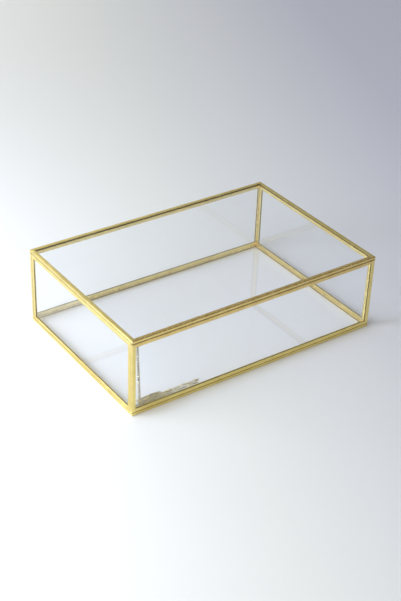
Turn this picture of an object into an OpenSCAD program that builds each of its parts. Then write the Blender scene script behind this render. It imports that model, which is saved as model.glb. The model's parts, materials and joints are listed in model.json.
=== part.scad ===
// Casket for papers and keepsakes: six panes of clear glass, each edged with
// four mitred strips of folded brass channel and soldered into a box.  The
// top pane is the lid.  It turns on a knuckle hinge along the back, and a fine
// ring chain inside the front left corner stops it just past upright.
// X and Y are centred on the piece, the front faces -Y and the base is z = 0.

/* [Case] */
// Width of the case over its brass, left to right
case_w = 300; // [240:1:360]
// Depth of the case over its brass, front to back
case_d = 201; // [160:1:240]
// Height of the four walls, between the base and the lid
wall_h = 80; // [70:1:110]
// Clearance under the closed lid
lid_gap = 0.2; // [0.1:0.05:0.4]

/* [Glass and brass edging] */
// Thickness of the glass
glass_t = 2; // [1.6:0.1:3]
// Clearance on each face of the glass in its channel
glass_fit = 0.1; // [0.05:0.05:0.2]
// Clearance at each edge of the glass
edge_fit = 0.3; // [0.2:0.1:0.6]
// Thickness of the brass sheet
sheet_t = 0.6; // [0.4:0.1:0.8]
// How far a channel's lip reaches past the wall that stands on it
lip_show = 0.8; // [0.7:0.1:2]
// Leg of the solder fillets inside the box
seam_leg = 0.7; // [0.4:0.1:0.7]

/* [Hinge] */
// Outside radius of the knuckle tube
tube_r = 1.5; // [1.3:0.1:2]
// Radius of the hinge pin
pin_r = 0.7; // [0.5:0.1:0.8]
// Radial clearance of the pin in the tube
pin_fit = 0.05; // [0.03:0.01:0.08]
// Gap between the tube and the brass that it is soldered to
tube_gap = 0.25; // [0.2:0.05:0.4]
// Distance from each end of the hinge to the side of the case
hinge_inset = 24; // [10:1:40]
// Number of knuckles, of which the odd ones are on the box
knuckle_count = 5; // [3:2:7]
// Clearance between neighbouring knuckles
knuckle_fit = 0.3; // [0.2:0.1:0.6]

/* [Lid stay chain] */
// Lid opening in degrees at which the chain is straight
lid_open = 95; // [91:1:100]
// Radius of a chain ring, to the middle of its wire
ring_r = 1.1; // [1:0.025:1.1]
// Radius of the wire of a chain ring
ring_wire_r = 0.28; // [0.2:0.01:0.28]
// Greatest distance from one ring to the next
ring_pitch = 1.6; // [1.4:0.05:1.6]
// Radius of each eye, to the middle of its wire
eye_r = 1.2; // [1.1:0.05:1.3]
// Radius of the wire of each eye
eye_wire_r = 0.3; // [0.25:0.05:0.3]
// Distance from the left side of the case to the lid's eye
eye_x = 8.1; // [7.5:0.1:12]
// Distance from the left side of the case to the foot of the hanging run
foot_x = 14; // [12:0.5:18]
// Height of the box's eye above the wall's foot
eye_z = 3.9; // [3:0.1:8]
// Free gap between two runs of chain that lie side by side
run_gap = 0.25; // [0.2:0.05:0.5]
// Length of the two longest rows, as a share of the chain that lies down
long_share = 0.26; // [0.25:0.01:0.27]
// Distance that the row along the front reaches, as the same share
front_share = 0.2; // [0.19:0.01:0.21]
// Distance that the last, slack row reaches, as the same share
slack_share = 0.15; // [0.14:0.01:0.16]

/* [Hidden] */

brass = [0.80, 0.70, 0.38];
solder = [0.72, 0.64, 0.40];
clear = [0.86, 0.93, 0.94, 0.35];

// One edged pane
slot_t = glass_t + 2 * glass_fit;
frame_t = slot_t + 2 * sheet_t;
lip_w = frame_t + lip_show;
side_w = case_d - 2 * frame_t;

// Heights and faces of the case
hinge_d = tube_gap + 2 * tube_r;
x_left = -case_w / 2;
x_right = case_w / 2;
y_front = -(case_d + hinge_d) / 2;
y_back = y_front + case_d;
wall_z = frame_t;
wall_top = wall_z + wall_h;
lid_z = wall_top + lid_gap;

// Hinge
hinge_y = y_back + tube_gap + tube_r;
hinge_z = wall_top + lid_gap / 2;
hinge_len = case_w - 2 * hinge_inset;
knuckle_len = (hinge_len - (knuckle_count - 1) * knuckle_fit) / knuckle_count;
pin_proud = 0.6;
fillet_h = 2.4;
fillet_in = 0.35;

// Eyes: each holds the chain at the outer side of its ring's wire
ring_out = ring_r + ring_wire_r;
eye_out = eye_r + eye_wire_r;
chain_fit = 0.175;
pad_fit = 0.3;
eye_fit = 0.1;
pad_w = 1.6;
pad_t = 0.5;
lid_eye_y = y_front + frame_t + ring_out + chain_fit;
lid_eye_z = lid_z - eye_fit - eye_out;
hold_lid = [x_left + eye_x, lid_eye_y, lid_eye_z - eye_r];
box_eye_x = x_left + frame_t + eye_out;
hold_box = [box_eye_x + eye_r, y_front + lip_w + ring_out + chain_fit, wall_z + eye_z];

// Where the lid's eye is when the chain is straight
arm = [hold_lid[1] - hinge_y, hold_lid[2] - hinge_z];
hold_open = [hold_lid[0],
    hinge_y + arm[0] * cos(lid_open) + arm[1] * sin(lid_open),
    hinge_z - arm[0] * sin(lid_open) + arm[1] * cos(lid_open)];
stay_len = norm(hold_open - hold_box);
stay_tilt = atan2(hold_open[1] - hold_box[1], hold_open[2] - hold_box[2]);

// The closed lid's chain lies in rows on the base glass, in two layers
run_step = 2 * ring_out + run_gap;
glass_gap = 0.075;
layer_1 = sheet_t + glass_fit + glass_t + glass_gap + ring_out;
layer_2 = layer_1 + run_step;
eye_room = 0.5;
row_1 = hold_box[1];
row_2 = row_1 + run_step + eye_room;
row_3 = row_2 + run_step;
row_4 = row_3 + run_step;

// Ends of the rows.  The two folds near the left side take up what is spare.
foot = [x_left + foot_x, row_2, layer_1];
hang_len = norm(foot - hold_lid);
lying_len = stay_len - hang_len;
fold_a = foot[0] + long_share * lying_len;
fold_d = x_left + front_share * lying_len;
loose_end = x_left + slack_share * lying_len;
fold_gap = 6;
low_end = [fold_d, row_1, layer_1];
low_len = norm(low_end - hold_box);
spare = lying_len - (fold_a - foot[0]) - low_len;
fold_mid = (fold_a + fold_d + 2 * loose_end - spare) / 4;
fold_b = fold_mid + fold_gap / 2;
fold_c = fold_mid - fold_gap / 2;

// Distance from the end of a run to the middle of its last ring: at an eye,
// at the link between the first two runs, on either side, and at a fold
link_slack = 0.15;
link_fit = 0.12;
fold_fit = 0.05;
at_eye = 0.45;
at_link = ring_r + link_slack;
in_link = ring_r - 2 * (ring_wire_r + link_fit);
at_fold = ring_out + fold_fit;

function unit(v) = v / norm(v);

// Strip of channel along the lower edge of a pane, mitred at both ends
module channel(length) {
    difference() {
        linear_extrude(frame_t)
            polygon([[0, 0], [length, 0], [length - lip_w, lip_w], [lip_w, lip_w]]);
        translate([-1, sheet_t, sheet_t])
            cube([length + 2, lip_w, slot_t]);
    }
}

// One of a pane's four strips: 0 lower, 1 right, 2 upper, 3 left
module edging(w, h, side) {
    corner = [[0, 0], [w, 0], [w, h], [0, h]][side];
    color(brass)
        translate(corner)
            rotate(90 * side)
                channel(side % 2 == 0 ? w : h);
}

// The sheet of glass inside a pane's channels
module pane(w, h) {
    inset = sheet_t + edge_fit;
    color(clear)
        translate([inset, inset, sheet_t + glass_fit])
            cube([w - 2 * inset, h - 2 * inset, glass_t]);
}

module at_front() {
    translate([x_left, y_front + frame_t, wall_z])
        rotate([90, 0, 0])
            children();
}

module at_back() {
    translate([x_left, y_back, wall_z])
        rotate([90, 0, 0])
            children();
}

module at_left() {
    translate([x_left, y_front + frame_t, wall_z])
        rotate([90, 0, 90])
            children();
}

module at_right() {
    translate([x_right - frame_t, y_front + frame_t, wall_z])
        rotate([90, 0, 90])
            children();
}

module at_base() {
    translate([x_left, y_front, 0])
        children();
}

module at_lid() {
    translate([x_left, y_front, lid_z])
        children();
}

// Fillet of solder with a right angle at the origin, along +X
module fillet(length, leg) {
    rotate([90, 0, 90])
        linear_extrude(length)
            polygon([[0, 0], [leg, 0], [0, leg]]);
}

// Upright fillets where the walls meet
module corner_solder() {
    rise = wall_h - 2 * seam_leg;
    color(solder)
        for (sx = [-1, 1], sy = [-1, 1])
            translate([sx * (case_w / 2 - frame_t), sy * (case_d / 2 - frame_t) + y_front + case_d / 2,
                    wall_z + 2 * seam_leg])
                linear_extrude(rise)
                    polygon([[0, 0], [-sx * seam_leg, 0], [0, -sy * seam_leg]]);
}

// Fillets where the walls stand on the base
module base_solder() {
    gap = 2 * seam_leg;
    long = case_w - 2 * frame_t - 2 * gap;
    short = case_d - 2 * frame_t - 2 * gap;
    color(solder) {
        translate([-long / 2, y_front + frame_t, wall_z])
            fillet(long, seam_leg);
        translate([long / 2, y_back - frame_t, wall_z])
            rotate(180)
                fillet(long, seam_leg);
        translate([x_left + frame_t, y_back - frame_t - gap, wall_z])
            rotate(-90)
                fillet(short, seam_leg);
        translate([x_right - frame_t, y_front + frame_t + gap, wall_z])
            rotate(90)
                fillet(short, seam_leg);
    }
}

function knuckle_x(i) = -hinge_len / 2 + i * (knuckle_len + knuckle_fit);

// Every second knuckle, from the one at index first
module knuckles(first) {
    color(brass)
        for (i = [first : 2 : knuckle_count - 1])
            translate([knuckle_x(i), hinge_y, hinge_z])
                rotate([0, 90, 0])
                    difference() {
                        cylinder(r = tube_r, h = knuckle_len, $fn = 48);
                        translate([0, 0, -1])
                            cylinder(r = pin_r + pin_fit, h = knuckle_len + 2, $fn = 48);
                    }
}

// Solder between those knuckles and the back of the case, below or above
module knuckle_solder(first, way) {
    back = y_back - hinge_y;
    color(solder)
        for (i = [first : 2 : knuckle_count - 1])
            translate([knuckle_x(i), hinge_y, hinge_z])
                rotate([90, 0, 90])
                    linear_extrude(knuckle_len)
                        difference() {
                            polygon([[back, way * fillet_in], [back, way * fillet_h],
                                [0, way * (tube_r + 0.1)]]);
                            circle(r = tube_r, $fn = 48);
                        }
}

module box_knuckles() {
    knuckles(0);
}

module box_hinge_solder() {
    knuckle_solder(0, -1);
}

module lid_knuckles() {
    knuckles(1);
}

module lid_hinge_solder() {
    knuckle_solder(1, 1);
}

module hinge_pin() {
    color(brass)
        translate([-hinge_len / 2 - pin_proud, hinge_y, hinge_z])
            rotate([0, 90, 0])
                cylinder(r = pin_r, h = hinge_len + 2 * pin_proud, $fn = 48);
}

// Closed ring of round wire about Z
module wire_ring(radius, wire_r) {
    rotate_extrude($fn = 32)
        translate([radius, 0])
            circle(r = wire_r, $fn = 16);
}

// Eye under the lid's front lip, on a small soldered pad
module lid_eye() {
    pad_y = y_front + frame_t + pad_fit;
    color(brass) {
        union() {
            translate([hold_lid[0], lid_eye_y, lid_eye_z])
                rotate([90, 0, 0])
                    wire_ring(eye_r, eye_wire_r);
            translate([hold_lid[0] - pad_w / 2, pad_y, lid_z - pad_t])
                cube([pad_w, lid_eye_y + eye_wire_r - pad_y, pad_t]);
        }
    }
}

// Eye at the foot of the front left corner, set across the straight chain
module box_eye() {
    color(brass)
        union() {
            translate([box_eye_x, hold_box[1], hold_box[2]])
                rotate([-stay_tilt, 0, 0])
                    wire_ring(eye_r, eye_wire_r);
            translate([x_left + frame_t, hold_box[1], hold_box[2]])
                rotate([0, 90, 0])
                    cylinder(r = 2 * eye_wire_r, h = 1.5 * eye_wire_r, $fn = 32);
        }
}

// Straight run of linked rings from p to q.  The first ring's middle is
// first_in from p, the last one's is last_in from q, and the rings lie by
// turns across axis and along it.
module run(p, q, first_in, last_in, axis) {
    along = unit(q - p);
    across = unit(axis - (axis * along) * along);
    span = norm(q - p) - first_in - last_in;
    steps = 2 * ceil(span / ring_pitch / 2);
    color(brass)
        for (i = [0 : steps]) {
            normal = i % 2 == 0 ? across : cross(along, across);
            translate(p + along * (first_in + i * span / steps))
                rotate([0, acos(normal[2]), atan2(normal[1], normal[0])])
                    wire_ring(ring_r, ring_wire_r);
        }
}

// Hangs from the lid's eye to the glass
module stay_run_1() {
    run(hold_lid, foot, at_eye, at_link, [1, 0, 0]);
}

module stay_run_2() {
    run(foot, [fold_a, row_2, layer_1], in_link, at_fold, cross([1, 0, 0], foot - hold_lid));
}

module stay_run_3() {
    run([fold_a, row_2, layer_2], [fold_b, row_2, layer_2], at_fold, at_fold, [0, 1, 0]);
}

module stay_run_4() {
    run([fold_b, row_3, layer_2], [loose_end, row_3, layer_2], at_fold, at_fold, [0, 1, 0]);
}

module stay_run_5() {
    run([loose_end, row_4, layer_1], [fold_c, row_4, layer_1], at_fold, at_fold, [0, 1, 0]);
}

module stay_run_6() {
    run([fold_c, row_3, layer_1], [fold_d, row_3, layer_1], at_fold, at_fold, [0, 1, 0]);
}

// Leaves the box's eye and lies along the front
module stay_run_7() {
    run(hold_box, low_end, at_eye, at_fold, [0, -cos(stay_tilt), sin(stay_tilt)]);
}

at_front() pane(case_w, wall_h);  // front_glass
at_back() pane(case_w, wall_h);  // back_glass
at_left() pane(side_w, wall_h);  // left_glass
at_right() pane(side_w, wall_h);  // right_glass
at_base() pane(case_w, case_d);  // base_glass
at_lid() pane(case_w, case_d);  // lid_glass
at_front() edging(case_w, wall_h, 0);  // front_bottom_channel
at_front() edging(case_w, wall_h, 1);  // front_right_channel
at_front() edging(case_w, wall_h, 2);  // front_top_channel
at_front() edging(case_w, wall_h, 3);  // front_left_channel
at_back() edging(case_w, wall_h, 0);  // back_bottom_channel
at_back() edging(case_w, wall_h, 1);  // back_right_channel
at_back() edging(case_w, wall_h, 2);  // back_top_channel
at_back() edging(case_w, wall_h, 3);  // back_left_channel
at_left() edging(side_w, wall_h, 0);  // left_bottom_channel
at_left() edging(side_w, wall_h, 1);  // left_back_channel
at_left() edging(side_w, wall_h, 2);  // left_top_channel
at_left() edging(side_w, wall_h, 3);  // left_front_channel
at_right() edging(side_w, wall_h, 0);  // right_bottom_channel
at_right() edging(side_w, wall_h, 1);  // right_back_channel
at_right() edging(side_w, wall_h, 2);  // right_top_channel
at_right() edging(side_w, wall_h, 3);  // right_front_channel
at_base() edging(case_w, case_d, 0);  // base_front_channel
at_base() edging(case_w, case_d, 1);  // base_right_channel
at_base() edging(case_w, case_d, 2);  // base_back_channel
at_base() edging(case_w, case_d, 3);  // base_left_channel
at_lid() edging(case_w, case_d, 0);  // lid_front_channel
at_lid() edging(case_w, case_d, 1);  // lid_right_channel
at_lid() edging(case_w, case_d, 2);  // lid_back_channel
at_lid() edging(case_w, case_d, 3);  // lid_left_channel
corner_solder();
base_solder();
box_knuckles();
box_hinge_solder();
lid_knuckles();
lid_hinge_solder();
hinge_pin();
lid_eye();
box_eye();
stay_run_1();
stay_run_2();
stay_run_3();
stay_run_4();
stay_run_5();
stay_run_6();
stay_run_7();
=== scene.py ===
"""Looks of a glass casket box: folded brass channel soldered round six panes of clear glass,
with a ring chain as the lid's stay."""

import json
import math
import random

import bmesh
import bpy
from mathutils import Matrix, Vector

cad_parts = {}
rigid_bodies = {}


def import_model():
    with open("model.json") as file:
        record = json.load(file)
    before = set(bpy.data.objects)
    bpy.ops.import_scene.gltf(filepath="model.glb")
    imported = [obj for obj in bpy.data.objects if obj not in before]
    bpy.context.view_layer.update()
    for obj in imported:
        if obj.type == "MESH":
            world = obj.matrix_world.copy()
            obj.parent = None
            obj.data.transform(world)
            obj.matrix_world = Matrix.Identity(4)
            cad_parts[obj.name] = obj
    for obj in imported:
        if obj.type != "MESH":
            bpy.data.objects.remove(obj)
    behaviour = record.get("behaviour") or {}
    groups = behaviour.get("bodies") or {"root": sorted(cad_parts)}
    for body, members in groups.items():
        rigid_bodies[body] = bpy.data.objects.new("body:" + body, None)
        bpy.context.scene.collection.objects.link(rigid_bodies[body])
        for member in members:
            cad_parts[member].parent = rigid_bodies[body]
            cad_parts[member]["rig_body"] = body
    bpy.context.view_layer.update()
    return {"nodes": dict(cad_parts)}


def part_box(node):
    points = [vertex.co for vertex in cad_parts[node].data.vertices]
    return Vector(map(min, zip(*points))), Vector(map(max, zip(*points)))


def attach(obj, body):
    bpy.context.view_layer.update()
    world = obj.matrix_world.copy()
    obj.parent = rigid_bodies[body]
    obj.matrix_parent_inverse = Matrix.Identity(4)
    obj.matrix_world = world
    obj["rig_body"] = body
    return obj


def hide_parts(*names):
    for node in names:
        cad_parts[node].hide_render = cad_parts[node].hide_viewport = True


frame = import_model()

MM = 0.001
NODES = frame["nodes"]

# The panes, the axis that each one faces along, and a pane's edges as (axis, 0 at its low end or 1)
PANES = ("front", "back", "left", "right", "base", "lid")
PANE_AXIS = {"front": 1, "back": 1, "left": 0, "right": 0, "base": 2, "lid": 2}
EDGES = {"left": (0, 0), "right": (0, 1), "front": (1, 0), "back": (1, 1), "bottom": (2, 0), "top": (2, 1)}

# Folded channel: its sheet, the outside radius of its folds, the filed edge of its lips, and half the
# gap that a mitre leaves
SHEET = 0.6 * MM
FOLD_RADIUS = 0.75 * MM
LIP_CHAMFER = 0.12 * MM
MITRE_GAP = 0.04 * MM


def body_of(node):
    """The body that a node of the frame rides."""
    return NODES[node]["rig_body"]


# ---------------------------------------------------------------- materials


def linear(colour):
    """An sRGB hex colour as Blender's linear RGBA."""
    parts = [int(colour[i:i + 2], 16) / 255 for i in (1, 3, 5)]
    return tuple(c / 12.92 if c <= 0.04045 else ((c + 0.055) / 1.055) ** 2.4 for c in parts) + (1.0,)


def add(tree, kind, inputs=None, stops=(), **settings):
    """Adds a node with its settings, its inputs as values or as links from other sockets, and a colour
    ramp's stops as (position, colour)."""
    node = tree.nodes.new("ShaderNode" + kind)
    for name, value in settings.items():
        setattr(node, name, value)
    for name, value in (inputs or {}).items():
        if isinstance(value, bpy.types.NodeSocket):
            tree.links.new(value, node.inputs[name])
        else:
            node.inputs[name].default_value = value
    for k, (position, colour) in enumerate(stops):
        elements = node.color_ramp.elements
        element = elements[k] if k < len(elements) else elements.new(position)
        element.position = position
        element.color = linear(colour)
    return node


def new_material(name):
    """An empty node material and its tree."""
    material = bpy.data.materials.new(name)
    material.use_nodes = True
    material.node_tree.nodes.clear()
    return material, material.node_tree


# The range that most of a noise's values lie in
NOISE_LOW, NOISE_HIGH = 0.3, 0.7


def metal(name, dark, light, rough, bump_um, grain_mm, patch_mm, metallic=1.0, spread=0.2):
    """A worked metal, or a matt coat on it, as the painted shade in the slots is.

    The colour varies in patches, over that spread of the noise about its middle, and the gloss and
    a low relief vary with the grain.  The real marks of a buffing wheel or an iron are too fine to
    show, so the grain is drawn about a millimetre coarse."""
    material, tree = new_material(name)
    place = add(tree, "TexCoord").outputs["Object"]
    patches = add(tree, "TexNoise", {"Vector": place, "Scale": 1 / (patch_mm * MM)})
    fine = add(tree, "TexNoise", {"Vector": place, "Scale": 1 / (grain_mm * MM), "Detail": 4.0})
    colour = add(tree, "ValToRGB", {"Fac": patches.outputs["Fac"]},
                 stops=[(0.5 - spread, dark), (0.5 + spread, light)])
    gloss = add(tree, "MapRange", {
        "Value": fine.outputs["Fac"], "From Min": NOISE_LOW, "From Max": NOISE_HIGH,
        "To Min": rough[0], "To Max": rough[1]})
    relief = add(tree, "Bump", {"Height": fine.outputs["Fac"], "Distance": bump_um * 1e-6, "Strength": 1.0})
    shader = add(tree, "BsdfPrincipled", {
        "Base Color": colour.outputs["Color"], "Metallic": metallic,
        "Roughness": gloss.outputs["Result"], "Normal": relief.outputs["Normal"]})
    add(tree, "OutputMaterial", {"Surface": shader.outputs["BSDF"]})
    return material


# Rolled sheet brass, folded and buffed to a satin: a soft bright yellow with faint cloudiness
BRASS = metal("buffed_sheet_brass", "#E5CF80", "#F0DC90", (0.2, 0.28), 0.4, 1.0, 9.0)
# The front strips along the lid's edge: the same brass, browner, which paints in a warm reflection
WARM_REFLECTION_BRASS = metal("brass_painted_warm_reflection", "#E2C67C", "#EED38C", (0.22, 0.3), 0.4, 1.0, 9.0)
# Faces in the joints between channels and on the rings' inner sides: matt, dark brass, a painted shade that
# darkens them
PAINTED_SHADE_BRASS = metal("brass_painted_shade", "#3E2804", "#5A3C0A", (0.3, 0.45), 3.0, 0.9, 4.0)
# The inside of the glass slots: a flat dark brown, a painted shade that shows as a line through the glass
SLOT_SHADE_COAT = metal("painted_slot_shade", "#241703", "#382507", (0.4, 0.55), 4.0, 0.9, 4.0, 0.0)
# Brass-coloured soft solder, wiped while hot: duller and softly uneven
SOLDER = metal("wiped_soft_solder", "#AE985A", "#D6C284", (0.22, 0.38), 8.0, 1.6, 3.0)
# Drawn brass wire, tumbled: rings pale and dark by turns, painted highlights and shade, and glossy enough
# for small bright highlights
GLINT_PAINTED_WIRE = metal("brass_wire_painted_glints", "#7C6A36", "#F6E9AE", (0.05, 0.12), 0.5, 0.5, 1.6, spread=0.06)


def float_glass():
    """Clear float glass: a slight waviness and a trace of haze, and its shadow is as clear as itself."""
    material, tree = new_material("clear_float_glass")
    place = add(tree, "TexCoord").outputs["Object"]
    wave = add(tree, "TexNoise", {"Vector": place, "Scale": 1 / (60.0 * MM), "Detail": 1.0})
    relief = add(tree, "Bump", {"Height": wave.outputs["Fac"], "Distance": 0.02 * MM, "Strength": 1.0})
    film = add(tree, "TexNoise", {"Vector": place, "Scale": 1 / (14.0 * MM), "Detail": 3.0})
    haze = add(tree, "MapRange", {"Value": film.outputs["Fac"], "From Min": 0.4, "From Max": 0.8,
                                  "To Min": 0.0, "To Max": 0.01})
    glass = add(tree, "BsdfPrincipled", {
        "Base Color": linear("#FDFEFF"), "Roughness": haze.outputs["Result"], "IOR": 1.5,
        "Transmission Weight": 1.0, "Normal": relief.outputs["Normal"]})
    clear = add(tree, "BsdfTransparent", {"Color": linear("#FEFEFF")})
    path = add(tree, "LightPath")
    either = add(tree, "Math", {0: path.outputs["Is Shadow Ray"], 1: path.outputs["Is Diffuse Ray"]},
                 operation="MAXIMUM")
    mix = add(tree, "MixShader", {
        0: either.outputs["Value"], 1: glass.outputs["BSDF"], 2: clear.outputs["BSDF"]})
    add(tree, "OutputMaterial", {"Surface": mix.outputs["Shader"]})
    return material


GLASS = float_glass()


# ---------------------------------------------------------------- mesh helpers


def piece(name, bm, materials, replaced, body=None, smooth_angle=40):
    """Makes a piece of the part from a bmesh: shading, finish, the node it stands for and its body."""
    bmesh.ops.recalc_face_normals(bm, faces=bm.faces)
    mesh = bpy.data.meshes.new(name)
    bm.to_mesh(mesh)
    bm.free()
    for material in materials:
        mesh.materials.append(material)
    mesh.shade_smooth()
    mesh.set_sharp_from_angle(angle=math.radians(smooth_angle))
    made = bpy.data.objects.new(name, mesh)
    bpy.context.scene.collection.objects.link(made)
    if replaced:
        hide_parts(*replaced)
    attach(made, body or body_of(replaced[0]))


def loft(bm, rings, closed=False):
    """Skins a row of equal rings of points, and closes the ends or joins the last ring to the first."""
    made = [[bm.verts.new(point) for point in ring] for ring in rings]
    count = len(rings[0])
    for k in range(len(made) if closed else len(made) - 1):
        here, there = made[k], made[(k + 1) % len(made)]
        for i in range(count):
            j = (i + 1) % count
            bm.faces.new((here[i], here[j], there[j], there[i]))
    if not closed:
        for end in (made[0], made[-1]):
            bm.faces.new(end)


# How much of its last value and of its last change a random walk keeps
KEPT_VALUE = 0.85
KEPT_CHANGE = 0.7


def wander(rng, count, step):
    """A smooth random walk of that many values about zero, as a hand makes."""
    value, change, out = 0.0, 0.0, []
    for _ in range(count):
        change = KEPT_CHANGE * change + rng.uniform(-step, step)
        value = KEPT_VALUE * value + change
        out.append(value)
    return out


# ---------------------------------------------------------------- brass channel


# Zones of a channel's section: open to the eye, the slot for the glass, the web with the part of each
# fold beside it, the part beside its lip of the first and of the second fold, and the first lip's cut edge
OPEN, SLOT, WEB, FOLD_1, FOLD_2, CUT_1 = range(6)
# Finishes on a channel, in the order of its materials: the brass, painted shade in the glass slot, painted
# shade in the joints
SHOWN, SHADED_SLOT, SHADED_JOINT = range(3)
# The fold of each pane that meets its neighbours
JOINED = {"base": FOLD_2, "lid": FOLD_1, "front": FOLD_2, "back": FOLD_1}
# The strips whose browner brass is a painted warm reflection
WARM_REFLECTION_STRIPS = ("lid_front_channel", "front_top_channel")


def channel_section(width, depth):
    """The folded channel's outline as (depth from the pane's edge, place through its thickness, zone).

    The zone of a point is that of the face after it."""
    points = [(depth, LIP_CHAMFER, OPEN), (depth - LIP_CHAMFER, 0, OPEN)]
    steps = 6
    for side in (0, 1):
        arc = []
        for i in range(steps + 1):
            turn = math.pi / 2 * i / steps
            arc.append((FOLD_RADIUS * (1 - math.sin(turn)), FOLD_RADIUS * (1 - math.cos(turn))))
        if side:
            arc = [(d, width - t) for d, t in reversed(arc)]
            zones = [WEB] * 2 + [OPEN] + [FOLD_2] * 3 + [OPEN]
        else:
            zones = [FOLD_1] * 3 + [OPEN] + [WEB] * 3
        points += [(d, t, zone) for (d, t), zone in zip(arc, zones)]
    points += [(depth - LIP_CHAMFER, width, OPEN), (depth, width - LIP_CHAMFER, OPEN),
               (depth, width - SHEET, SLOT), (SHEET, width - SHEET, SLOT),
               (SHEET, SHEET, SLOT), (depth, SHEET, CUT_1)]
    return points


def folded_channel(pane, edge):
    """One mitred strip of channel along one edge of a pane."""
    node = f"{pane}_{edge}_channel"
    low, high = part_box(node)
    through = PANE_AXIS[pane]
    across, end = EDGES[edge]
    along = 3 - through - across
    section = channel_section(high[through] - low[through], high[across] - low[across])
    # zones that take the painted shade of the joints: those that lie against another pane's channel, and
    # the cut edge of the lid's lower lip
    shade_zones = set()
    if edge in ("top", "bottom") or pane in ("left", "right"):
        shade_zones.add(WEB)
    if pane in ("base", "lid") or (pane in JOINED and edge in ("left", "right")):
        shade_zones.add(JOINED[pane])
    if pane == "lid":
        shade_zones.add(CUT_1)
    bm = bmesh.new()
    rings = []
    for far in (0, 1):
        ring = []
        for depth, thick, _ in section:
            place = Vector((0, 0, 0))
            place[through] = low[through] + thick
            place[across] = high[across] - depth if end else low[across] + depth
            place[along] = high[along] - depth - MITRE_GAP if far else low[along] + depth + MITRE_GAP
            ring.append(bm.verts.new(place))
        rings.append(ring)
    count = len(section)
    for i in range(count):
        j = (i + 1) % count
        face = bm.faces.new((rings[0][i], rings[0][j], rings[1][j], rings[1][i]))
        zone = section[i][2]
        # painted shade darkens every slot but the base's
        slot_is_shaded = zone == SLOT and pane != "base"
        face.material_index = SHADED_SLOT if slot_is_shaded else SHADED_JOINT if zone in shade_zones else SHOWN
    for ring in rings:
        bm.faces.new(ring)
    # the lid's front strips take the brass with the painted warm reflection
    outside = WARM_REFLECTION_BRASS if node in WARM_REFLECTION_STRIPS else BRASS
    piece(f"folded_{pane}_{edge}", bm, [outside, SLOT_SHADE_COAT, PAINTED_SHADE_BRASS], [node])


for pane in PANES:
    for edge, (axis, _) in EDGES.items():
        if axis != PANE_AXIS[pane]:
            folded_channel(pane, edge)

# ---------------------------------------------------------------- mitre solder


# A bead along a mitre: where it starts and its stations, half its width and height, how deep its middle
# lies, and how its width wanders
MITRE_START = 0.9 * FOLD_RADIUS
MITRE_STATIONS = 7
MITRE_HALF_WIDTH = 0.2 * MM
MITRE_HALF_HEIGHT = 0.095 * MM
MITRE_SUNK = 0.1 * MM
MITRE_WANDER = 0.012 * MM
# A bead down a web corner: how far in its middle lies, and its ends as (height, radius)
POST_INSET = 0.42 * MM
POST_END = ((0.2 * MM, 0.18 * MM), (0.32 * MM, 0.34 * MM), (0.8 * MM, 0.4 * MM))


def mitre_solder(pane):
    """Beads along a pane's eight mitre lines, and down the web corners of the base and the lid."""
    rng = random.Random(f"mitre {pane}")
    through = PANE_AXIS[pane]
    strips = [[Vector(corner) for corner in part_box(f"{pane}_{edge}_channel")]
              for edge, (axis, _) in EDGES.items() if axis != through]
    low = Vector(min(strip[0][i] for strip in strips) for i in range(3))
    high = Vector(max(strip[1][i] for strip in strips) for i in range(3))
    one, two = [i for i in range(3) if i != through]
    lip = min((strips[0][1] - strips[0][0])[i] for i in (one, two))
    bm = bmesh.new()
    for first in (0, 1):
        for second in (0, 1):
            for face in (0, 1):
                inward = Vector((0, 0, 0))
                inward[one] = -1 if first else 1
                inward[two] = -1 if second else 1
                out = Vector((0, 0, 0))
                out[through] = 1 if face else -1
                corner = Vector((0, 0, 0))
                corner[one] = high[one] if first else low[one]
                corner[two] = high[two] if second else low[two]
                corner[through] = high[through] if face else low[through]
                side = inward.normalized().cross(out)
                spread = wander(rng, MITRE_STATIONS, MITRE_WANDER)
                rings = []
                for i in range(MITRE_STATIONS):
                    run = MITRE_START + (lip - MITRE_START) * i / (MITRE_STATIONS - 1)
                    half = MITRE_HALF_WIDTH + abs(spread[i])
                    middle = corner + inward * run - out * MITRE_SUNK
                    rings.append([middle + side * half * math.cos(a) + out * MITRE_HALF_HEIGHT * math.sin(a)
                                  for a in (math.pi * k / 4 for k in range(8))])
                loft(bm, rings)
            if pane in ("base", "lid"):
                foot = Vector((high.x if first else low.x, high.y if second else low.y, low.z))
                foot += Vector((-1 if first else 1, -1 if second else 1, 0)) * POST_INSET
                tall = high.z - low.z
                upper = [(tall - rise, radius) for rise, radius in reversed(POST_END)]
                loft(bm, [[foot + Vector((radius * math.cos(a), radius * math.sin(a), rise))
                           for a in (math.pi * k / 6 for k in range(12))]
                          for rise, radius in [*POST_END, *upper]])
    piece(f"mitre_solder_{pane}", bm, [SOLDER], None, body_of(f"{pane}_glass"), 180)


for pane in PANES:
    mitre_solder(pane)

# ---------------------------------------------------------------- inside seams


# A seam: the distance between its stations, and the steps by which it leans and swells
SEAM_STATION = 2.2 * MM
SEAM_LEAN = 0.007
SEAM_SWELL = 0.012
# Its mean, its least and its end size as shares of the leg
SEAM_MEAN = 0.86
SEAM_LEAST = 0.6
SEAM_END = 0.35
# Its face: the steps across it, and its hollow as a share of a quarter circle's
SEAM_STEPS = 5
SEAM_HOLLOW = 0.93


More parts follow.
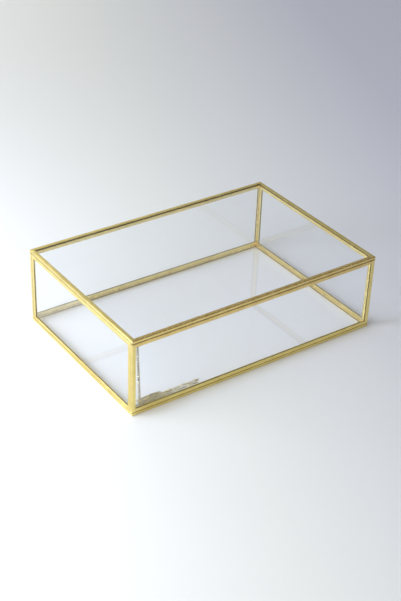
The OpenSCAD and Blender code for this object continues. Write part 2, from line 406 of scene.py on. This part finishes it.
def seam(bm, rng, start, end, first, second, leg):
    """A hollow, hand-run fillet of solder from start to end, in the corner between two walls."""
    along = end - start
    steps = max(4, round(along.length / SEAM_STATION))
    lean = wander(rng, steps + 1, SEAM_LEAN)
    swell = wander(rng, steps + 1, SEAM_SWELL)
    rings = []
    for k in range(steps + 1):
        taper = SEAM_END if k in (0, steps) else 1.0
        size = leg * taper * min(1.0, max(SEAM_LEAST, SEAM_MEAN + swell[k]))
        reach_1 = size * min(1.0, 1 + lean[k])
        reach_2 = size * min(1.0, 1 - lean[k])
        middle = start + along * (k / steps)
        ring = [middle, middle + first * reach_1]
        for i in range(1, SEAM_STEPS):
            turn = math.pi / 2 * i / SEAM_STEPS
            out_1 = reach_1 * (1 - SEAM_HOLLOW * math.sin(turn))
            out_2 = reach_2 * (1 - SEAM_HOLLOW * math.cos(turn))
            ring.append(middle + first * out_1 + second * out_2)
        ring.append(middle + second * reach_2)
        rings.append(ring)
    loft(bm, rings)


def inside_seams():
    """The seams where the walls meet, and where they stand on the base."""
    rng = random.Random("inside seams")
    low, high = (Vector(c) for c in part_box("base_solder"))
    up_low, up_high = (Vector(c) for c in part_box("corner_solder"))
    leg = high.z - low.z
    bm = bmesh.new()
    for sx in (-1, 1):
        for sy in (-1, 1):
            x = up_high.x if sx > 0 else up_low.x
            y = up_high.y if sy > 0 else up_low.y
            seam(bm, rng, Vector((x, y, up_low.z)), Vector((x, y, up_high.z)),
                 Vector((-sx, 0, 0)), Vector((0, -sy, 0)), leg)
    piece("upright_seams", bm, [SOLDER], ["corner_solder"], smooth_angle=180)
    bm = bmesh.new()
    # the seams on the base stop short of the upright ones
    gap = 2 * leg
    for sy in (-1, 1):
        y = high.y if sy > 0 else low.y
        seam(bm, rng, Vector((low.x + gap, y, low.z)), Vector((high.x - gap, y, low.z)),
             Vector((0, -sy, 0)), Vector((0, 0, 1)), leg)
    for sx in (-1, 1):
        x = high.x if sx > 0 else low.x
        seam(bm, rng, Vector((x, low.y + gap, low.z)), Vector((x, high.y - gap, low.z)),
             Vector((-sx, 0, 0)), Vector((0, 0, 1)), leg)
    piece("base_seams", bm, [SOLDER], ["base_solder"], smooth_angle=180)


inside_seams()

# ---------------------------------------------------------------- hinge

# The pin's line and radius, its play in the bore, and the tube's radius and the ease of its ends
PIN_LOW, PIN_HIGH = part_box("hinge_pin")
PIN = Vector((0, (PIN_LOW[1] + PIN_HIGH[1]) / 2, (PIN_LOW[2] + PIN_HIGH[2]) / 2))
PIN_RADIUS = (PIN_HIGH[2] - PIN_LOW[2]) / 2
PIN_FIT = 0.05 * MM
TUBE = (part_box("box_knuckles")[1][2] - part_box("box_knuckles")[0][2]) / 2
TUBE_EASE = 0.15 * MM
# A knuckle's bead, in heights from the pin: where it starts and how far it rises on the channel, with
# how that wanders from station to station and its limits
BEAD_START = 0.35 * MM
BEAD_RISE = 2.1 * MM
BEAD_STATION = 1.6 * MM
BEAD_WANDER = 0.05 * MM
BEAD_LOW, BEAD_HIGH = -0.3 * MM, 0.25 * MM
# Its size at its ends as a share, the steps across it, its hollow, and its thinnest skin over the tube
BEAD_END = 0.6
BEAD_STEPS = 6
BEAD_HOLLOW = 0.3 * MM
BEAD_SKIN = 0.02 * MM
# Where it lies against the tube: how far it laps in from above, and the share of the radius at its side
BEAD_LAP = 0.05 * MM
BEAD_SIDE = 0.98


def spans(node):
    """The stretches along X that a node's separate solids fill."""
    mesh = NODES[node].data
    ends = sorted({round(v.co.x, 6) for v in mesh.vertices})
    return list(zip(ends[0::2], ends[1::2]))


def turned(bm, profile, sides=40, hollow=False):
    """A turned shape about the hinge pin's line, from (x, radius) points."""
    rings = [[Vector((x, PIN.y + r * math.cos(a), PIN.z + r * math.sin(a)))
              for a in (2 * math.pi * k / sides for k in range(sides))] for x, r in profile]
    loft(bm, rings, closed=hollow)


def knuckle_tubes(node):
    """Rolled tube knuckles with eased ends, bored for the pin."""
    bm = bmesh.new()
    ease = TUBE_EASE
    bore = PIN_RADIUS + PIN_FIT
    for start, end in spans(node):
        turned(bm, [(start, bore + ease / 2), (start, TUBE - ease), (start + ease, TUBE),
                    (end - ease, TUBE), (end, TUBE - ease), (end, bore + ease / 2),
                    (end - ease, bore), (start + ease, bore)], hollow=True)
    piece(f"rolled_{node}", bm, [BRASS], [node], smooth_angle=50)


def knuckle_beads(node, way):
    """The run of solder that holds each knuckle to the channel behind it."""
    rng = random.Random(node)
    low, high = (Vector(c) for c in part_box(node))
    bm = bmesh.new()
    for start, end in spans(node):
        steps = max(6, round((end - start) / BEAD_STATION))
        swell = wander(rng, steps + 1, BEAD_WANDER)
        rings = []
        for k in range(steps + 1):
            x = start + (end - start) * k / steps
            ease = BEAD_END if k in (0, steps) else 1.0
            rise = (BEAD_RISE + max(BEAD_LOW, min(BEAD_HIGH, swell[k]))) * ease
            ring = [Vector((x, low.y, PIN.z + way * BEAD_START)), Vector((x, low.y, PIN.z + way * rise))]
            for i in range(1, BEAD_STEPS):
                share = i / BEAD_STEPS
                # hollow line from the channel to the top of the tube
                y = low.y + (PIN.y - low.y) * share
                dip = BEAD_HOLLOW * math.sin(math.pi * share) * ease
                z = rise + (TUBE + 2 * BEAD_SKIN - rise) * share - dip
                least = math.sqrt(max(0, (TUBE + BEAD_SKIN) ** 2 - (y - PIN.y) ** 2))
                ring.append(Vector((x, y, PIN.z + way * max(z, least))))
            for i in range(BEAD_STEPS - 1, 0, -1):
                turn = math.radians(90 * i / BEAD_STEPS)
                y = PIN.y - TUBE * BEAD_SIDE * math.sin(turn)
                ring.append(Vector((x, y, PIN.z + way * (TUBE - BEAD_LAP) * math.cos(turn))))
            rings.append(ring)
        loft(bm, rings)
    piece(f"bead_{node}", bm, [SOLDER], [node], smooth_angle=60)


for node in ("box_knuckles", "lid_knuckles"):
    knuckle_tubes(node)
knuckle_beads("box_hinge_solder", -1)
knuckle_beads("lid_hinge_solder", 1)


def drawn_pin():
    """The hinge pin, with filed round ends."""
    # the pin's ends as (distance from the end, share of its radius)
    filed = ((0.0, 0.45), (0.1 * MM, 0.8), (0.25 * MM, 1.0))
    left, right = PIN_LOW[0], PIN_HIGH[0]
    bm = bmesh.new()
    turned(bm, [(left + x, PIN_RADIUS * share) for x, share in filed]
           + [(right - x, PIN_RADIUS * share) for x, share in reversed(filed)], sides=28)
    piece("drawn_hinge_pin", bm, [GLINT_PAINTED_WIRE], ["hinge_pin"])


drawn_pin()

# ---------------------------------------------------------------- stay chain

# A ring's radius to the middle of its wire, and the wire's own radius
RING_RADIUS = 1.1 * MM
RING_WIRE = 0.28 * MM
RUNS = [f"stay_run_{i}" for i in range(1, 8)]
# How each run lies: its twist and the drift of that from ring to ring in degrees, and the lift and
# sway of its waves in millimetres
LIE = {"stay_run_1": (38, 1.5, 0, 0), "stay_run_2": (-35, 6, 0, 0.12), "stay_run_3": (40, 7, 0.6, 0.2),
       "stay_run_4": (20, 9, 0.6, 0.25), "stay_run_5": (-40, 9, 0.35, 0.2), "stay_run_6": (35, 7, 0, 0.12),
       "stay_run_7": (-30, 6, 0, 0)}
# How far round a ring's wire the painted shade reaches, each way from its inner side and in twelfths of a
# turn. The hanging run has the most.
INNER_SHADE_HALF = dict.fromkeys(RUNS, 2) | {"stay_run_1": 4}
# Rings from each end of a run over which its twist and waves come in, and rings in a radian of its waves
EASE_RINGS = 6
SWAY_RINGS = 1.9
LIFT_RINGS = 1.6


def rings_of(node):
    """The middle and the normal of each ring in a run, read from the frame's own solids."""
    bm = bmesh.new()
    bm.from_mesh(NODES[node].data)
    bmesh.ops.remove_doubles(bm, verts=bm.verts, dist=1e-6)
    bm.verts.ensure_lookup_table()
    seen = set()
    found = []
    for start in bm.verts:
        if start.index in seen:
            continue
        group, stack = [], [start]
        seen.add(start.index)
        while stack:
            vert = stack.pop()
            group.append(vert.co.copy())
            for link in vert.link_edges:
                other = link.other_vert(vert)
                if other.index not in seen:
                    seen.add(other.index)
                    stack.append(other)
        low = Vector(min(p[i] for p in group) for i in range(3))
        high = Vector(max(p[i] for p in group) for i in range(3))
        middle = (low + high) / 2
        # two far points of the ring's rim span its plane
        first = max(group, key=lambda p: (p - middle).length) - middle
        second = max(group, key=lambda p: (p - middle).cross(first).length) - middle
        found.append((middle, first.cross(second).normalized()))
    bm.free()
    return found


def add_ring(bm, place, shade_half, major=28, minor=12):
    """A closed ring of round wire about the place's Z, with painted shade on its inner side."""
    first = len(bm.faces)
    rings = []
    for i in range(major):
        turn = 2 * math.pi * i / major
        row = []
        for j in range(minor):
            roll = 2 * math.pi * j / minor
            reach = RING_RADIUS + RING_WIRE * math.cos(roll)
            height = RING_WIRE * math.sin(roll)
            row.append(place @ Vector((reach * math.cos(turn), reach * math.sin(turn), height)))
        rings.append(row)
    loft(bm, rings, closed=True)
    bm.faces.ensure_lookup_table()
    for i in range(first, len(bm.faces)):
        # the inner side takes the painted shade
        inner = abs((i - first) % minor + 0.5 - minor / 2) < shade_half
        bm.faces[i].material_index = 1 if inner else 0


def chain_run(node):
    """One run of linked rings.  It twists and waves a little, and is true again at both ends."""
    rng = random.Random(node)
    found = rings_of(node)
    along = (found[-1][0] - found[0][0]).normalized()
    count = len(found)
    middle_twist, drift_step, lift, sway = LIE[node]
    drift = wander(rng, count, drift_step)
    start = rng.uniform(0, 6)
    bm = bmesh.new()
    for k, (middle, normal) in enumerate(found):
        turn = normal.to_track_quat("Z", "Y").to_matrix().to_4x4()
        held = min(1.0, k / EASE_RINGS, (count - 1 - k) / EASE_RINGS)
        twist = held * (middle_twist + drift[k])
        lean = Matrix.Rotation(math.radians(twist), 4, along)
        aside = sway * math.sin(start + k / SWAY_RINGS)
        up = lift * (0.5 - 0.5 * math.cos(start + k / LIFT_RINGS))
        wave = Vector((0, aside, up)) * held * MM
        add_ring(bm, Matrix.Translation(middle + wave) @ lean @ turn, INNER_SHADE_HALF[node])
    piece(f"ring_{node}", bm, [GLINT_PAINTED_WIRE, PAINTED_SHADE_BRASS], [node], smooth_angle=180)


for node in RUNS:
    chain_run(node)

# ---------------------------------------------------------------- nodes that keep their shape

for name, cad in NODES.items():
    if name.endswith("_glass"):
        cad.data.materials[0] = GLASS
    elif name.endswith("_eye"):
        cad.data.materials[0] = GLINT_PAINTED_WIRE
        cad.data.shade_smooth()
        cad.data.set_sharp_from_angle(angle=math.radians(40))

# ---------------------------------------------------------------- stage

# The table's colour, a painted fall-off of the light from the bright left to the dim right, along this way
# and over this stretch in metres
FALL_WAY = (1.0, -0.4, 0.0)
FALL_FROM, FALL_TO = -0.3, 0.7
TABLE_PAINTED_FALLOFF = [(0.05, "#ECEDEA"), (0.3, "#DEE0DC"), (0.75, "#C0C2CD")]
# How far from the box the table fades out into the room, in metres
FADE_FROM, FADE_TO = 1.25, 1.9
TABLE_HALF = 3.0
TABLE_DROP = 0.2 * MM
# The room: grey above and in front, paler and cooler low behind the box
ROOM_SHADES = [(0.0, "#B4B4B6"), (0.5, "#BEC0C4"), (1.0, "#DCE1E8")]
# Its other parts as (aim, cosine where it comes in, cosine where it is full, colour): dim at the far
# right, which the upward lips mirror, and dark high at the right, which the front folds mirror
ROOM_PATCHES = (
    ((0.75, 0.50, 0.43), 0.9, 0.95, "#A0A2A8"),
    ((0.55, -0.25, 0.80), 0.75, 0.9, "#463A2C"),
)
# What shows past the table, by itself and through the glass; brass mirrors the room instead
BACKDROP = "#E6E8EA"
# A Mix node's two inputs and its output for colours
MIX_A, MIX_B, MIX_RESULT = 6, 7, 2


def table_material():
    """Matt table top, with the light's fall-off painted in: white at the left, then a faintly warm grey,
    and a blue grey at the right.
    """
    material, tree = new_material("matt_table_top")
    place = add(tree, "TexCoord").outputs["Object"]
    aside = add(tree, "VectorMath", {0: place, 1: FALL_WAY}, operation="DOT_PRODUCT")
    fall = add(tree, "MapRange", {
        "Value": aside.outputs["Value"], "From Min": FALL_FROM, "From Max": FALL_TO})
    colour = add(tree, "ValToRGB", {"Fac": fall.outputs["Result"]}, stops=TABLE_PAINTED_FALLOFF)
    shader = add(tree, "BsdfDiffuse", {"Color": colour.outputs["Color"]})
    reach = add(tree, "VectorMath", {0: place}, operation="LENGTH")
    fade = add(tree, "MapRange", {
        "Value": reach.outputs["Value"], "From Min": FADE_FROM, "From Max": FADE_TO})
    gone = add(tree, "BsdfTransparent")
    mix = add(tree, "MixShader", {
        0: fade.outputs["Result"], 1: shader.outputs["BSDF"], 2: gone.outputs["BSDF"]})
    add(tree, "OutputMaterial", {"Surface": mix.outputs["Shader"]})
    return material


def table():
    """The table top that the box stands on."""
    bm = bmesh.new()
    bmesh.ops.create_grid(bm, x_segments=2, y_segments=2, size=TABLE_HALF)
    mesh = bpy.data.meshes.new("table")
    bm.to_mesh(mesh)
    bm.free()
    mesh.materials.append(table_material())
    made = bpy.data.objects.new("table", mesh)
    made.location = (0.0, 0.0, -TABLE_DROP)
    bpy.context.scene.collection.objects.link(made)


def lamp(name, place, aim, size, watts, colour):
    """A square soft box that faces the aim."""
    data = bpy.data.lights.new(name, "AREA")
    data.color = linear(colour)[:3]
    data.shape = "SQUARE"
    data.size = size
    data.energy = watts
    made = bpy.data.objects.new(name, data)
    made.location = place
    made.rotation_euler = (Vector(aim) - Vector(place)).to_track_quat("-Z", "Y").to_euler()
    bpy.context.scene.collection.objects.link(made)


def room_patch(tree, way, aim, edge, full, under, colour):
    """A part of the room about the aim in another colour, which comes in between two cosines."""
    near = add(tree, "VectorMath", {0: way, 1: aim}, operation="DOT_PRODUCT")
    share = add(tree, "MapRange", {"Value": near.outputs["Value"], "From Min": edge, "From Max": full})
    patch = add(tree, "Mix", {0: share.outputs["Result"], MIX_A: under, MIX_B: linear(colour)},
                data_type="RGBA")
    return patch.outputs[MIX_RESULT]


def studio_room():
    """The room that brass and glass mirror, and the pale backdrop past the table."""
    world = bpy.data.worlds.new("studio")
    world.use_nodes = True
    tree = world.node_tree
    tree.nodes.clear()
    way = add(tree, "TexCoord").outputs["Generated"]
    back = add(tree, "VectorMath", {0: way, 1: (0.0, 1.0, -1.0)}, operation="DOT_PRODUCT")
    depth = add(tree, "MapRange", {"Value": back.outputs["Value"], "From Min": -0.4, "From Max": 0.4})
    room = add(tree, "ValToRGB", {"Fac": depth.outputs["Result"]}, stops=ROOM_SHADES).outputs["Color"]
    for aim, edge, full, colour in ROOM_PATCHES:
        room = room_patch(tree, way, aim, edge, full, room, colour)
    path = add(tree, "LightPath")
    seen = add(tree, "Math", {0: path.outputs["Is Camera Ray"], 1: path.outputs["Is Transmission Ray"]},
               operation="MAXIMUM")
    view = add(tree, "Mix", {0: seen.outputs["Value"], MIX_A: room, MIX_B: linear(BACKDROP)},
               data_type="RGBA")
    sky = add(tree, "Background", {"Color": view.outputs[MIX_RESULT], "Strength": 1.0})
    add(tree, "OutputWorld", {"Surface": sky.outputs["Background"]})
    bpy.context.scene.world = world


# Soft boxes: name, place, aim, size in metres, watts and colour
LAMPS = (
    ("left_softbox", (-1.6, 0.0, 1.2), (0, 0, 0.05), 1.2, 18, "#FFFFFF"),
    ("low_left_softbox", (-0.8, 0.25, 0.35), (-0.32, 0.03, 0), 0.5, 7, "#DDE8FF"),
    ("backdrop_softbox", (0.0, 2.1, 1.0), (0.7, 1.2, 0), 1.0, 12, "#FFFFFF"),
    ("near_softbox", (-1.3, -1.8, 1.6), (0, 0, 0), 3.2, 32, "#FFFFFF"),
)

table()
for setting in LAMPS:
    lamp(*setting)
studio_room()
bpy.context.scene.view_settings.view_transform = "Standard"

# ---------------------------------------------------------------- camera

# The camera's place in metres, its turn, tilt and roll, and its lens and sensor in millimetres
CAMERA_PLACE = (-0.66217, -0.91650, 0.74486)
CAMERA_TURN = math.radians(-35.847)
CAMERA_TILT = math.radians(57.603)
CAMERA_ROLL = math.radians(2.231)
CAMERA_LENS = 75.08
CAMERA_SENSOR = 36

camera = bpy.data.objects.new("camera", bpy.data.cameras.new("camera"))
camera.data.lens = CAMERA_LENS
camera.data.sensor_width = CAMERA_SENSOR
camera.data.clip_start = 0.01
camera.matrix_world = (Matrix.Translation(CAMERA_PLACE) @ Matrix.Rotation(CAMERA_TURN, 4, "Z")
                       @ Matrix.Rotation(CAMERA_TILT, 4, "X") @ Matrix.Rotation(CAMERA_ROLL, 4, "Z"))
bpy.context.scene.collection.objects.link(camera)
bpy.context.scene.camera = camera
